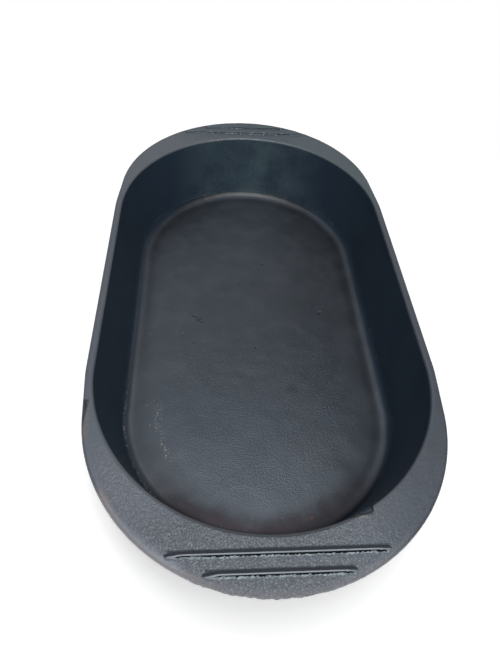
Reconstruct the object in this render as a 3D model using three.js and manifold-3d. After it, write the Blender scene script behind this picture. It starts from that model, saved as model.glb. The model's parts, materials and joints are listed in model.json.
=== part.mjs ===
// Oval cast-iron baking pan with a crescent handle at each end.
//
// Millimetres, +Z up. The origin is on the table under the middle of the pan.
// The long axis is Y: the front handle is at -Y and the rear handle at +Y.
//
// The real pan is one casting. Here its regions are separate solids that meet face to face:
// the bowl, two handles and the raised grip ribs on each handle.

import * as THREE from 'three';
import { mergeVertices } from 'three/addons/utils/BufferGeometryUtils.js';
import Module from 'manifold-3d';

const wasm = await Module();
wasm.setup();

// Driving dimensions of the bowl
const MOUTH_WIDTH = 200; // clear width between the long sides, at the rim
const STRAIGHT_LENGTH = 151.4; // straight stretch of each long side, between the round ends
const INSIDE_DEPTH = 53; // rim to cooking floor
const FLOOR_THICKNESS = 5;
const WALL_THICKNESS = 4.8; // across the flat rim
const WALL_DRAFT = 11.5; // degrees that the wall leans outwards, so the casting leaves its mould
const INNER_FILLET = 6; // cooking floor to wall
const OUTER_FILLET = 9; // underside to wall
const RIM_EDGE_BREAK = 0.7; // chamfer on both edges of the rim

// Driving dimensions of the handles
const HANDLE_REACH = 23.1; // from the rim out to the crescent's edge, at the middle
const HANDLE_ARC_INSET = 2.2; // by which the crescent's arc is tighter than the rim's outer arc
const HANDLE_ROOT_THICKNESS = 6; // against the wall, at the middle of the crescent
const HANDLE_EDGE_THICKNESS = 4.6; // at the outer arc
const HANDLE_EDGE_RADIUS = 1.5; // rounding of the outer edge, above and below
const HANDLE_ROOT_FILLET = 4; // under the handle, into the wall

// Driving dimensions of the grip ribs
const RIB_WIDTH = 3.8;
const RIB_HEIGHT = 1.4;
const RIB_PITCH = 9.1; // between the two ribs of one handle
const OUTER_RIB_SETBACK = 10.2; // from the handle's outer edge to the middle of the outer rib
const RIB_END_MARGIN = 3.4; // from the end of a rib to the handle's outer edge

// Smoothness of the round stretches
const QUARTER_TURN_STEPS = 18;
const FILLET_STEPS = 3;
const RIB_CAP_STEPS = 4;
const RIB_ROUND_STEPS = 16;

// How far a cutting solid runs past the face that it opens
const CUT_OVERRUN = 5;

// The most of a plate's thickness that the rounding of one edge may take
const FULLEST_ROUNDING = 0.48;

// Places worked out from the dimensions above
const rimHeight = INSIDE_DEPTH + FLOOR_THICKNESS;
const mouthRadius = MOUTH_WIDTH / 2;
const rimOuterRadius = mouthRadius + WALL_THICKNESS;
const endCentre = STRAIGHT_LENGTH / 2;
const draft = THREE.MathUtils.degToRad(WALL_DRAFT);
const fullTurnSteps = 4 * QUARTER_TURN_STEPS;
const handleArcRadius = rimOuterRadius - HANDLE_ARC_INSET;
const handleCentre = endCentre + HANDLE_ARC_INSET + HANDLE_REACH;
const handleTip = handleCentre + handleArcRadius;
const handleRounding = Math.min(HANDLE_EDGE_RADIUS, FULLEST_ROUNDING * HANDLE_EDGE_THICKNESS);
const outerRibPlace = handleTip - OUTER_RIB_SETBACK;
const innerRibPlace = outerRibPlace - RIB_PITCH;

// Seasoned iron: dark blue-grey, satin. The ribs are rubbed a little brighter.
const seasonedIron = { color: 0x3b4046, roughness: 0.55, metalness: 0.35 };
const rubbedIron = { color: 0x4a4f55, roughness: 0.5, metalness: 0.4 };

// Turns a geometry drawn in X and Y so that its Y is up (Z), without rounding its numbers.
const upright = new THREE.Matrix4().set(1, 0, 0, 0, 0, 0, -1, 0, 0, 1, 0, 0, 0, 0, 0, 1);

// A closed geometry as a solid that can be joined and cut.
function solidOf(geometry) {
  const bare = geometry.clone();
  bare.deleteAttribute('normal');
  bare.deleteAttribute('uv');
  const merged = mergeVertices(bare, 1e-4);
  const corners = merged.index.array;
  const triangles = [];
  for (let i = 0; i < corners.length; i += 3) {
    const [a, b, c] = corners.subarray(i, i + 3);
    // A revolve that starts on its axis leaves slivers there with two corners in one point.
    if (a !== b && b !== c && c !== a) triangles.push(a, b, c);
  }
  return new wasm.Manifold(
    new wasm.Mesh({
      numProp: 3,
      vertProperties: merged.attributes.position.array,
      triVerts: new Uint32Array(triangles),
    }),
  );
}

// A solid back as a geometry, with flat-shaded faces.
function geometryOf(solid) {
  const { vertProperties, triVerts } = solid.getMesh();
  const indexed = new THREE.BufferGeometry();
  indexed.setAttribute('position', new THREE.BufferAttribute(vertProperties, 3));
  indexed.setIndex(new THREE.BufferAttribute(triVerts, 1));
  const geometry = indexed.toNonIndexed();
  geometry.computeVertexNormals();
  return geometry;
}

// Half section revolved about the vertical line through (0, y).
function revolve(section, y) {
  const geometry = new THREE.LatheGeometry(section.getPoints(FILLET_STEPS), fullTurnSteps);
  return solidOf(geometry.applyMatrix4(upright).translate(0, y, 0));
}

// Half section swept round the pan's oval: a revolve at each end and a straight trough between them.
function sweepOval(section) {
  const right = section.getPoints(FILLET_STEPS).filter((point) => point.x > 0);
  const left = right.map((point) => new THREE.Vector2(-point.x, point.y)).reverse();
  const trough = new THREE.ExtrudeGeometry(new THREE.Shape([...right, ...left]), {
    depth: STRAIGHT_LENGTH,
    bevelEnabled: false,
  });
  return solidOf(trough.applyMatrix4(upright).translate(0, endCentre, 0))
    .add(revolve(section, endCentre))
    .add(revolve(section, -endCentre));
}

// Radius of a draughted wall at a height, from its radius at the rim.
function wallRadius(rimRadius, height) {
  return rimRadius - (rimHeight - height) * Math.tan(draft);
}

// Half section from the axis along a flat bottom, round a fillet and on to the foot of the wall.
function startBowlSection(rimRadius, bottom, fillet) {
  const filletCentre = wallRadius(rimRadius, bottom) - fillet * Math.tan((Math.PI / 2 - draft) / 2);
  const section = new THREE.Path();
  section.moveTo(0, bottom);
  section.lineTo(filletCentre, bottom);
  section.absarc(filletCentre, bottom + fillet, fillet, -Math.PI / 2, -draft, false);
  return section;
}

// The bowl's outer form, filled in to the rim.
function outerForm() {
  const section = startBowlSection(rimOuterRadius, 0, OUTER_FILLET);
  section.lineTo(wallRadius(rimOuterRadius, rimHeight - RIM_EDGE_BREAK), rimHeight - RIM_EDGE_BREAK);
  section.lineTo(rimOuterRadius - RIM_EDGE_BREAK, rimHeight);
  section.lineTo(0, rimHeight);
  return sweepOval(section);
}

// The space inside the bowl, run on above the rim.
function cavityForm() {
  const section = startBowlSection(mouthRadius, FLOOR_THICKNESS, INNER_FILLET);
  section.lineTo(wallRadius(mouthRadius, rimHeight - RIM_EDGE_BREAK), rimHeight - RIM_EDGE_BREAK);
  section.lineTo(mouthRadius + RIM_EDGE_BREAK, rimHeight);
  section.lineTo(mouthRadius + RIM_EDGE_BREAK, rimHeight + CUT_OVERRUN);
  section.lineTo(0, rimHeight + CUT_OVERRUN);
  return sweepOval(section);
}

// The wall thickened under the handle by a hollow fillet that ends at the handle's underside.
function rootFilletForm() {
  const underside = rimHeight - HANDLE_ROOT_THICKNESS;
  const centreHeight = underside - HANDLE_ROOT_FILLET;
  const centreRadius = wallRadius(rimOuterRadius, centreHeight) + HANDLE_ROOT_FILLET / Math.cos(draft);
  const wallTouch = centreHeight + HANDLE_ROOT_FILLET * Math.sin(draft);
  const section = new THREE.Path();
  section.moveTo(0, wallTouch);
  section.lineTo(wallRadius(rimOuterRadius, wallTouch), wallTouch);
  section.absarc(centreRadius, centreHeight, HANDLE_ROOT_FILLET, Math.PI - draft, Math.PI / 2, true);
  section.lineTo(centreRadius, rimHeight - handleRounding);
  section.lineTo(0, rimHeight - handleRounding);
  return sweepOval(section);
}

// The round plate that a handle is cut from: flat on top, thinner towards its rounded outer edge.
function handlePlate(y) {
  const taper = (HANDLE_ROOT_THICKNESS - HANDLE_EDGE_THICKNESS) / HANDLE_REACH;
  const edgeBottom = rimHeight - HANDLE_EDGE_THICKNESS;
  const roundCentre = handleArcRadius - handleRounding;
  const section = new THREE.Path();
  section.moveTo(0, edgeBottom - handleArcRadius * taper);
  section.lineTo(roundCentre, edgeBottom);
  section.absarc(roundCentre, edgeBottom + handleRounding, handleRounding, -Math.PI / 2, 0, false);
  section.absarc(roundCentre, rimHeight - handleRounding, handleRounding, 0, Math.PI / 2, false);
  section.lineTo(0, rimHeight);
  return revolve(section, y);
}

// The post over the handle's outline, which trims the root fillet to the handle.
function handleFootprint(y) {
  const radius = handleArcRadius - handleRounding;
  const post = new THREE.CylinderGeometry(radius, radius, rimHeight, fullTurnSteps);
  return solidOf(post.applyMatrix4(upright).translate(0, y, rimHeight / 2));
}

// One crescent handle. side is -1 at the front and +1 at the rear.
function handle(side, outer) {
  const y = side * handleCentre;
  const rootFillet = rootFilletForm().intersect(handleFootprint(y));
  return handlePlate(y).add(rootFillet).subtract(outer);
}

// A half-round bead with round ends, lying across the handle's flat top as far as the outer arc allows.
function gripRib(side, place) {
  const y = side * place;
  const length = 2 * Math.sqrt((handleArcRadius - RIB_END_MARGIN) ** 2 - (place - handleCentre) ** 2);
  const beadRadius = (RIB_WIDTH ** 2 / 4 + RIB_HEIGHT ** 2) / (2 * RIB_HEIGHT);
  const bead = new THREE.CapsuleGeometry(beadRadius, length - RIB_WIDTH, RIB_CAP_STEPS, RIB_ROUND_STEPS);
  bead.rotateZ(Math.PI / 2).translate(0, y, rimHeight + RIB_HEIGHT - beadRadius);
  const above = new THREE.BoxGeometry(length + 2 * CUT_OVERRUN, RIB_WIDTH + 2 * CUT_OVERRUN, 2 * RIB_HEIGHT);
  above.translate(0, y, rimHeight + RIB_HEIGHT);
  return solidOf(bead).intersect(solidOf(above));
}

const pan = new THREE.Group();

function addPiece(name, solid, finish) {
  const mesh = new THREE.Mesh(geometryOf(solid), new THREE.MeshStandardMaterial(finish));
  mesh.name = name;
  pan.add(mesh);
}

const outer = outerForm();
addPiece('pan_bowl', outer.subtract(cavityForm()), seasonedIron);

for (const [end, side] of [['front', -1], ['rear', 1]]) {
  addPiece(`${end}_handle`, handle(side, outer), seasonedIron);
  addPiece(`${end}_inner_rib`, gripRib(side, innerRibPlace), rubbedIron);
  addPiece(`${end}_outer_rib`, gripRib(side, outerRibPlace), rubbedIron);
}

export default pan;
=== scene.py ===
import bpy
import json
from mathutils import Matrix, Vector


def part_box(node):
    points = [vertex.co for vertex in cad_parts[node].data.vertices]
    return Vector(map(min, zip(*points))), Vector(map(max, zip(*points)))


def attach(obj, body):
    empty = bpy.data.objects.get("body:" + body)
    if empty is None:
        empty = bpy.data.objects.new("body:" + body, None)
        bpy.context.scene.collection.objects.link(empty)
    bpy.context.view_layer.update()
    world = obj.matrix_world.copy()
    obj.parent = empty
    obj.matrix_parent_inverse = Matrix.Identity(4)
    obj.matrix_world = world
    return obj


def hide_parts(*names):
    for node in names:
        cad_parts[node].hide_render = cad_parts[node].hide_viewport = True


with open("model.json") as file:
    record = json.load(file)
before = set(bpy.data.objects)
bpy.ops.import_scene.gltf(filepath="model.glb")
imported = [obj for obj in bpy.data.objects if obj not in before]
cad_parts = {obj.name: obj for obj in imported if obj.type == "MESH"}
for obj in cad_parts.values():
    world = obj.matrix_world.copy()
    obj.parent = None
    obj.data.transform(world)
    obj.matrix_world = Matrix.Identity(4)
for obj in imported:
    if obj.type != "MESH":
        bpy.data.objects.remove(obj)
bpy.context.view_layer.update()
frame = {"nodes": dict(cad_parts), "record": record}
print("frame:", ", ".join(sorted(frame["nodes"])))

# %% [markdown]
# # An oval cast-iron baking pan
#
# The pan is one iron casting: a deep oval bowl with leaning walls, and a flat crescent handle at each
# end with two raised ribs across it. The CAD nodes give its sizes, and they are all simple solids.
# This lesson models the same pieces again as the foundry and years of baking leave them: softly rounded
# edges, an uneven sand-cast skin, ribs with a crack along their foot, and a coat of baked oil.
#
# All lengths are metres. The pan's own sizes are read from the frame where the frame knows them.

# %% Sizes of the casting
import json
import math

import bmesh
import bpy
from mathutils import Matrix, Vector, noise

MM = 0.001
WALL = 4.8 * MM
DRAFT = math.radians(11.5)

mounts = {mount["name"]: Vector(mount["pos_m"]) for mount in frame["record"]["mounts"]}
rim_z = mounts["rim_top"].z
floor_z = mounts["cooking_floor"].z
mouth_radius = mounts["rim_top"].x - WALL / 2
rim_radius = mounts["rim_top"].x + WALL / 2
bowl_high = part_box("pan_bowl")[1]
end_centre = bowl_high.y - bowl_high.x
handle_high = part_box("rear_handle")[1]
handle_radius = handle_high.x
handle_centre = handle_high.y - handle_radius
print(f"mouth {2 * mouth_radius / MM:.0f} mm wide, round ends {end_centre / MM:.0f} mm from the middle")

# %% [markdown]
# ## Working as by hand
#
# Every piece starts from a primitive and is shaped in edit mode. A script has no mouse, so the helpers
# here stand in for clicking: they select points, edges or faces by where they are.

# %% Start a piece, and select by place
SAME_LENGTH = 0.01 * MM
SAME_PLACE = 0.002 * MM


def start_piece(name):
    """A new object whose mesh is one point at the origin, left in edit mode."""
    bpy.ops.object.select_all(action="DESELECT")
    bpy.ops.mesh.primitive_plane_add(size=MM)
    bpy.context.object.name = name
    bpy.ops.object.mode_set(mode="EDIT")
    bpy.ops.mesh.select_mode(type="VERT")
    bpy.ops.mesh.merge(type="CENTER")
    return bpy.context.object


def pick(kind, choose):
    """Selects the parts that choose finds in the mesh in edit mode: VERT, EDGE or FACE."""
    bpy.ops.mesh.select_mode(type=kind)
    bpy.ops.mesh.select_all(action="DESELECT")
    mesh = bmesh.from_edit_mesh(bpy.context.object.data)
    for part in choose(mesh):
        part.select_set(True)
    bmesh.update_edit_mesh(bpy.context.object.data)


def pick_points(test):
    """Selects the points whose place passes the test."""
    pick("VERT", lambda mesh: [point for point in mesh.verts if test(point.co)])


def pick_edges(test):
    """Selects the edges whose two ends pass the test."""
    pick("EDGE", lambda mesh: [edge for edge in mesh.edges if test(*(end.co for end in edge.verts))])


def pick_faces(test):
    """Selects the faces whose middle passes the test."""
    pick("FACE", lambda mesh: [face for face in mesh.faces if test(face.calc_center_median())])


def near(a, b):
    """True where two lengths are the same to a hundredth of a millimetre."""
    return abs(a - b) < SAME_LENGTH


def face_outwards():
    """Merges doubled points of the mesh in edit mode and turns all its faces outwards."""
    bpy.ops.mesh.select_all(action="SELECT")
    bpy.ops.mesh.remove_doubles(threshold=SAME_PLACE)
    bpy.ops.mesh.normals_make_consistent(inside=False)


def report(piece):
    """Prints how many points and faces a piece has."""
    print(f"{piece.name}: {len(piece.data.vertices)} points, {len(piece.data.polygons)} faces")

# %% [markdown]
# ## The bowl
#
# The bowl is one wall of even thickness that runs round straight sides and round ends. It could be
# carved out of a solid with booleans, but then its skin would be long thin faces that shade badly.
# Instead its section is drawn once, as a pattern maker's template would be, and swept: half a turn
# makes one round end, a straight pull makes half of the sides, and a mirror makes the rest.
#
# Inside, the floor rises to the wall in a shallow hollow that meets the wall at a crease. That crease
# is where the light band round the floor ends.

# %% Draw the section of the wall
FOOT_RADIUS = 6.5 * MM
FOOT_TURN = math.radians(60)
FOOT_STEPS = 12
OUTER_FILLET = 9 * MM
OUTER_FILLET_STEPS = 6


def wall_radius(radius_at_rim, z):
    """Radius of a leaning wall at a height."""
    return radius_at_rim - (rim_z - z) * math.tan(DRAFT)


def draw(points):
    """Extrudes the selected point along a line of points in the XZ plane."""
    for (x0, z0), (x1, z1) in zip(points, points[1:]):
        bpy.ops.mesh.extrude_region_move(TRANSFORM_OT_translate={"value": (x1 - x0, 0, z1 - z0)})


crease_z = floor_z + FOOT_RADIUS * (1 - math.cos(FOOT_TURN))
flat_radius = wall_radius(mouth_radius, crease_z) - FOOT_RADIUS * math.sin(FOOT_TURN)
foot = [
    (flat_radius + FOOT_RADIUS * math.sin(turn), floor_z + FOOT_RADIUS * (1 - math.cos(turn)))
    for turn in (FOOT_TURN * step / FOOT_STEPS for step in range(FOOT_STEPS + 1))
]
outer_corner = (wall_radius(rim_radius, 0), 0)
section = [(0, floor_z), *foot, (mouth_radius, rim_z), (rim_radius, rim_z), outer_corner, (0, 0)]

bowl = start_piece("iron_bowl")
bpy.ops.transform.translate(value=(0, 0, floor_z))
draw(section)
pick_points(lambda p: near(p.x, outer_corner[0]) and near(p.z, 0))
along_each_edge = OUTER_FILLET * math.tan((math.pi / 2 - DRAFT) / 2)
bpy.ops.mesh.bevel(offset=along_each_edge, segments=OUTER_FILLET_STEPS, profile=0.5, affect="VERTICES")
print("section drawn through", len(section), "points")

# %% [markdown]
# Only points can move when the skin is made uneven later, so the section gets more of them now. It has most
# across the cooking floor, and few outside, where nobody looks closely.

# %% Divide the section evenly
FLOOR_CUTS = 46
WALL_CUTS = 20
RIM_CUTS = 1
OUTSIDE_CUTS = 10
BASE_CUTS = 8


def divide(cuts, test):
    """Selects edges by a test and makes that many cuts in each."""
    pick_edges(test)
    bpy.ops.mesh.subdivide(number_cuts=cuts)


def level(z):
    """A test for edges at one height."""
    return lambda a, b: near(a.z, z) and near(b.z, z)


def on_wall(radius):
    """A test for edges along a leaning wall."""
    return lambda a, b: all(near(p.x, wall_radius(radius, p.z)) for p in (a, b))


divide(FLOOR_CUTS, level(floor_z))
divide(WALL_CUTS, on_wall(mouth_radius))
divide(RIM_CUTS, level(rim_z))
divide(OUTSIDE_CUTS, on_wall(rim_radius))
divide(BASE_CUTS, level(0))
print("section has", len(bmesh.from_edit_mesh(bowl.data).verts), "points")

# %% [markdown]
# A spin turns the section about the upright axis and leaves a strip of faces behind each step. The section
# touches that axis, so doubled points pile up there, and they are merged. The mirror makes the other half
# of the pan. A spin or a mirror can turn a skin inside out, so at the end all faces are turned outwards.

# %% Sweep it: half a turn, a straight pull, then a mirror
END_STEPS = 170
SIDE_STEPS = 48

bpy.ops.mesh.select_all(action="SELECT")
bpy.ops.mesh.spin(steps=END_STEPS, angle=math.pi, center=(0, 0, 0), axis=(0, 0, 1))
bpy.ops.mesh.select_all(action="SELECT")
bpy.ops.mesh.remove_doubles(threshold=SAME_PLACE)
bpy.ops.transform.translate(value=(0, -end_centre, 0))
pick_edges(lambda a, b: near(a.y, -end_centre) and near(b.y, -end_centre))
bpy.ops.mesh.extrude_region_move(TRANSFORM_OT_translate={"value": (0, end_centre, 0)})
divide(SIDE_STEPS - 1, lambda a, b: near(abs(a.y - b.y), end_centre))
bpy.ops.object.mode_set(mode="OBJECT")

mirror = bowl.modifiers.new("other_end", "MIRROR")
mirror.use_axis = (False, True, False)
mirror.merge_threshold = SAME_PLACE
bpy.ops.object.modifier_apply(modifier=mirror.name)
bpy.ops.object.mode_set(mode="EDIT")
face_outwards()
bpy.ops.object.mode_set(mode="OBJECT")
report(bowl)

# %% [markdown]
# The rim of a used casting is never sharp. Its inner edge is rounded all the way round. Its outer edge
# is rounded only along the free sides and a little way under the tips of the handles, because at the
# ends the handles run on level from it.

# %% Round the free edges of the rim
INNER_ROUNDING = 1.3 * MM
INNER_STEPS = 4
OUTER_ROUNDING = 1.1 * MM
OUTER_STEPS = 3
ON_RIM = 0.05 * MM
TIP_OVERLAP = 4 * MM
centre_gap = handle_centre - end_centre
crossing = ((rim_radius**2 - handle_radius**2) / centre_gap + centre_gap) / 2
tip_y = end_centre + crossing


def oval_radius(p):
    """Distance of a place from the line between the centres of the two round ends."""
    beyond = max(abs(p.y) - end_centre, 0)
    return math.hypot(p.x, beyond)


def on_rim(radius, reach):
    """A test for the edges that run round the rim at a radius, no further along the pan than reach."""
    def fits(p):
        return near(p.z, rim_z) and abs(oval_radius(p) - radius) < ON_RIM and abs(p.y) < reach
    return lambda a, b: fits(a) and fits(b)


bpy.ops.object.mode_set(mode="EDIT")
pick_edges(on_rim(mouth_radius, bowl_high.y))
bpy.ops.mesh.bevel(offset=INNER_ROUNDING, segments=INNER_STEPS, profile=0.5, affect="EDGES")
pick_edges(on_rim(rim_radius, tip_y + TIP_OVERLAP))
bpy.ops.mesh.bevel(offset=OUTER_ROUNDING, segments=OUTER_STEPS, profile=0.5, affect="EDGES")
bpy.ops.object.mode_set(mode="OBJECT")
bpy.ops.object.shade_smooth_by_angle(angle=math.radians(25))
report(bowl)

# %% [markdown]
# ## The crescent handles
#
# Each handle is a flat plate between two arcs: the bowl's rim and a slightly tighter arc further out.
# It is lofted: one point is spun into each arc of its outline, top, edge and underside, and each arc is
# bridged to the next. The plate thins a little towards its edge and has a hollow fillet where it
# grows out of the wall.

# %% Spin arcs, and bridge them
HANDLE_STEPS = 560
ROOT_RUNOUT = 4 * MM
PAST_TIP = math.radians(2.4)
WALL_FIRST = math.asin(crossing / rim_radius)
EDGE_FIRST = math.asin((crossing - centre_gap) / handle_radius) - PAST_TIP


def spin_arc(centre_y, radius, first_angle, z):
    """Adds a point and spins it round the front end of the pan. Returns the numbers of its points."""
    count = len(bmesh.from_edit_mesh(bpy.context.object.data).verts)
    x = radius * math.cos(first_angle)
    y = -centre_y - radius * math.sin(first_angle)
    bpy.ops.mesh.select_mode(type="VERT")
    bpy.ops.mesh.primitive_plane_add(size=MM, location=(x, y, z))
    bpy.ops.mesh.merge(type="CENTER")
    sweep = math.pi - 2 * first_angle
    bpy.ops.mesh.spin(steps=HANDLE_STEPS, angle=sweep, center=(0, -centre_y, 0), axis=(0, 0, 1))
    return set(range(count, len(bmesh.from_edit_mesh(bpy.context.object.data).verts)))


def wall_arc(radius, z):
    """An arc that follows the rim."""
    return spin_arc(end_centre, radius, WALL_FIRST, z)


def root_arc(radius, z):
    """An arc of the fillet under the handle. It is tighter than the rim, so its ends run into the wall."""
    return spin_arc(end_centre + ROOT_RUNOUT, radius - ROOT_RUNOUT, WALL_FIRST, z)


def edge_arc(inset, z):
    """An arc that follows the outer edge of the handle."""
    return spin_arc(handle_centre, handle_radius - inset, EDGE_FIRST, z)


def bridge(arc, other, cuts):
    """Joins two arcs by a strip of faces with that many rows of points between them."""
    def runs_along(edge):
        ends = {end.index for end in edge.verts}
        return ends <= arc or ends <= other
    pick("EDGE", lambda mesh: [edge for edge in mesh.edges if runs_along(edge)])
    bpy.ops.mesh.bridge_edge_loops(number_cuts=cuts, interpolation="LINEAR", smoothness=0)

# %% [markdown]
# The list of arcs below is the section of a handle, read once round: the flat top, the rounded edge, the
# underside and the fillet. The top reaches in over the rounding of the rim, and the arcs of the fillet
# run into the wall, so that no end of the plate lies open.

# %% Loft one handle
HANDLE_ROOT = 6 * MM
HANDLE_EDGE = 4.6 * MM
EDGE_ROUNDING = 1.5 * MM
EDGE_STEPS = 3
OVER_RIM = 1.2 * OUTER_ROUNDING
TOP_ROWS = 48
EDGE_ROWS = 1
UNDERSIDE_ROWS = 12
# Each arc of the fillet: out from the rim, down from the root, and rows of points up to the next arc
ROOT_SECTION = ((1.4 * MM, 0, 0), (-0.8 * MM, 0.9 * MM, 0), (-2.0 * MM, 3.0 * MM, 2))

front_handle = start_piece("front_crescent")
bpy.ops.mesh.delete(type="VERT")
underside = rim_z - HANDLE_EDGE
rounding = [
    (EDGE_ROUNDING * (1 - math.sin(turn)), EDGE_ROUNDING * (1 - math.cos(turn)))
    for turn in (math.radians(90 * step / EDGE_STEPS) for step in range(EDGE_STEPS + 1))
]
edge = [(inset, rim_z - drop) for inset, drop in rounding]
edge += [(inset, underside + drop) for inset, drop in reversed(rounding)]
edge_rows = [*[0] * EDGE_STEPS, EDGE_ROWS, *[0] * EDGE_STEPS, UNDERSIDE_ROWS]
arcs = [(wall_arc(rim_radius - OVER_RIM, rim_z), TOP_ROWS)]
for (inset, z), rows in zip(edge, edge_rows):
    arcs.append((edge_arc(inset, z), rows))
for out, down, rows in ROOT_SECTION:
    arcs.append((root_arc(rim_radius + out, rim_z - HANDLE_ROOT - down), rows))
for (arc, rows), (other, _) in zip(arcs, arcs[1:] + arcs[:1]):
    bridge(arc, other, rows)
bpy.ops.mesh.select_mode(type="VERT")
bpy.ops.mesh.select_all(action="SELECT")
bpy.ops.mesh.fill_holes(sides=0)
face_outwards()
bpy.ops.object.mode_set(mode="OBJECT")
bpy.ops.object.shade_smooth_by_angle(angle=math.radians(35))
report(front_handle)

# %% [markdown]
# The two handles are alike, so the rear one is a copy with its own mesh. A scale of -1 along the pan
# mirrors it to the other end. That turns its faces inside out, so they are turned outwards again.

# %% Copy it to the rear
def copy_to_rear(piece, name):
    """A copy with its own mesh, mirrored to the other end of the pan."""
    bpy.ops.object.select_all(action="DESELECT")
    piece.select_set(True)
    bpy.context.view_layer.objects.active = piece
    bpy.ops.object.duplicate(linked=False)
    copy = bpy.context.object
    copy.name = name
    bpy.ops.object.mode_set(mode="EDIT")
    bpy.ops.mesh.select_all(action="SELECT")
    bpy.ops.transform.resize(value=(1, -1, 1), center_override=(0, 0, 0))
    bpy.ops.mesh.normals_make_consistent(inside=False)
    bpy.ops.object.mode_set(mode="OBJECT")
    report(copy)
    return copy


rear_handle = copy_to_rear(front_handle, "rear_crescent")

# %% [markdown]
# ## Soft changes of shape
#
# A transform moves all that is selected by the same amount. Shapes that fade out are made with a displace
# modifier instead, which moves points along one direction. A vertex group says where and how much: each
# point's weight is worked out from its place.

# %% Weigh the points, and shift them
def weigh(piece, group, rule):
    """A vertex group whose weight at each point is what the rule gives for its place."""
    weights = piece.vertex_groups.new(name=group)
    for point in piece.data.vertices:
        weight = rule(point.co)
        if weight > 0:
            weights.add([point.index], min(weight, 1), "REPLACE")


def shift(piece, group, amount, direction="NORMAL", lumps=0):
    """Moves a group by its weights: all one way, or in and out in lumps of a given size."""
    bpy.context.view_layer.objects.active = piece
    displace = piece.modifiers.new(group, "DISPLACE")
    displace.vertex_group = group
    displace.direction = direction
    displace.strength = amount
    displace.mid_level = 0
    if lumps:
        cloud = bpy.data.textures.new(f"{piece.name}_{group}", "CLOUDS")
        cloud.noise_scale = lumps
        cloud.noise_depth = 2
        displace.texture = cloud
        displace.texture_coords = "LOCAL"
        displace.mid_level = 0.5
    bpy.ops.object.modifier_apply(modifier=displace.name)


def ease(value, start, stop):
    """0 up to start, 1 from stop on, and a smooth ramp between. Start may be the larger of the two."""
    t = min(max((value - start) / (stop - start), 0), 1)
    return t * t * (3 - 2 * t)

# %% [markdown]
# Where the arc of a handle leaves the rim, the two outlines would meet at a corner. On the casting they run
# into each other along the straight line that touches both arcs, so the points beside the corner move out
# to that line. Where the handles reach in over the rim they also dip a hair below it, because two faces
# in one plane would flicker.

# %% Run the outline of the handles into the rim
TIP_DEPTH = 12 * MM
TIP_BAND = 4 * MM
TIP_RAMP = 3 * MM
DIP = 0.05 * MM
lean = math.asin((rim_radius - handle_radius) / centre_gap)
first_touch = end_centre + rim_radius * math.sin(lean)
last_touch = handle_centre + handle_radius * math.sin(lean)


def to_touching_line(p):
    """How far a place near the outline has to move out, and 0 away from the tips."""
    along = abs(p.y)
    if not first_touch < along < last_touch or p.z < rim_z - TIP_DEPTH:
        return 0
    rim_x = math.sqrt(rim_radius**2 - (along - end_centre) ** 2)
    handle_x = math.sqrt(handle_radius**2 - (along - handle_centre) ** 2)
    line_x = (rim_radius - (along - end_centre) * math.sin(lean)) / math.cos(lean)
    outermost = min(max((abs(p.x) - rim_x + TIP_BAND) / TIP_RAMP, 0), 1)
    return (line_x - max(rim_x, handle_x)) * outermost


def under_rim(p):
    """1 where a handle reaches in over the rim."""
    return 1 if oval_radius(p) < rim_radius - 2 * SAME_LENGTH else 0


for handle in (front_handle, rear_handle):
    weigh(handle, "under_rim", under_rim)
    shift(handle, "under_rim", -DIP, direction="Z")
for piece in (bowl, front_handle, rear_handle):
    for side in (-1, 1):
        group = "left_tips" if side < 0 else "right_tips"
        weigh(piece, group, lambda p: to_touching_line(p) / MM if side * p.x > 0 else 0)
        shift(piece, group, side * MM, direction="X")
print(f"the outline of the handles runs straight for {(last_touch - first_touch) / MM:.0f} mm at each tip")

# %% [markdown]
# ## The grip ribs
#
# Each rib is a low bead with round ends. A sphere cut in two and pulled apart along its axis is
# already that shape, so the sphere is stretched, pressed flat and trimmed just under the handle's top,
# deep enough that no gap opens where the handle's skin is uneven. The ribs of the rear handle are copies.

# %% Pull a sphere into a bead
BEAD_SEGMENTS = 72
BEAD_RINGS = 24
BEAD_CUTS = 150
SUNK = 0.6 * MM
TRIM_TOLERANCE = 0.001 * MM


def grip_bead(name, node):
    """A bead as long, wide and high as a rib of the frame, in the place of that rib."""
    low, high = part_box(node)
    half_width = (high.y - low.y) / 2
    height = high.z - low.z
    pull = (high.x - low.x) / 2 - half_width
    bpy.ops.object.select_all(action="DESELECT")
    bpy.ops.mesh.primitive_uv_sphere_add(
        segments=BEAD_SEGMENTS, ring_count=BEAD_RINGS, radius=half_width, rotation=(0, math.pi / 2, 0)
    )
    bead = bpy.context.object
    bead.name = name
    bpy.ops.object.transform_apply(location=False, rotation=True, scale=False)
    bpy.ops.object.mode_set(mode="EDIT")
    for side in (-1, 1):
        pick_points(lambda p: side * p.x > SAME_LENGTH)
        bpy.ops.transform.translate(value=(side * pull, 0, 0))
    divide(BEAD_CUTS, lambda a, b: abs(a.x - b.x) > pull / 2)
    bpy.ops.mesh.select_all(action="SELECT")
    bpy.ops.transform.resize(value=(1, 1, height / half_width), center_override=(0, 0, 0))
    trim = {"plane_co": (0, 0, -SUNK), "plane_no": (0, 0, 1), "threshold": TRIM_TOLERANCE}
    bpy.ops.mesh.bisect(**trim, clear_inner=True)
    bpy.ops.mesh.edge_face_add()
    bpy.ops.mesh.select_all(action="SELECT")
    bpy.ops.transform.translate(value=(0, (low.y + high.y) / 2, low.z))
    bpy.ops.object.mode_set(mode="OBJECT")
    bpy.ops.object.shade_smooth_by_angle(angle=math.radians(50))
    report(bead)
    return bead


beads = {}
for row in ("inner", "outer"):
    beads[f"front_{row}_rib"] = grip_bead(f"front_{row}_bead", f"front_{row}_rib")
for row in ("inner", "outer"):
    beads[f"rear_{row}_rib"] = copy_to_rear(beads[f"front_{row}_rib"], f"rear_{row}_bead")

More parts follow.
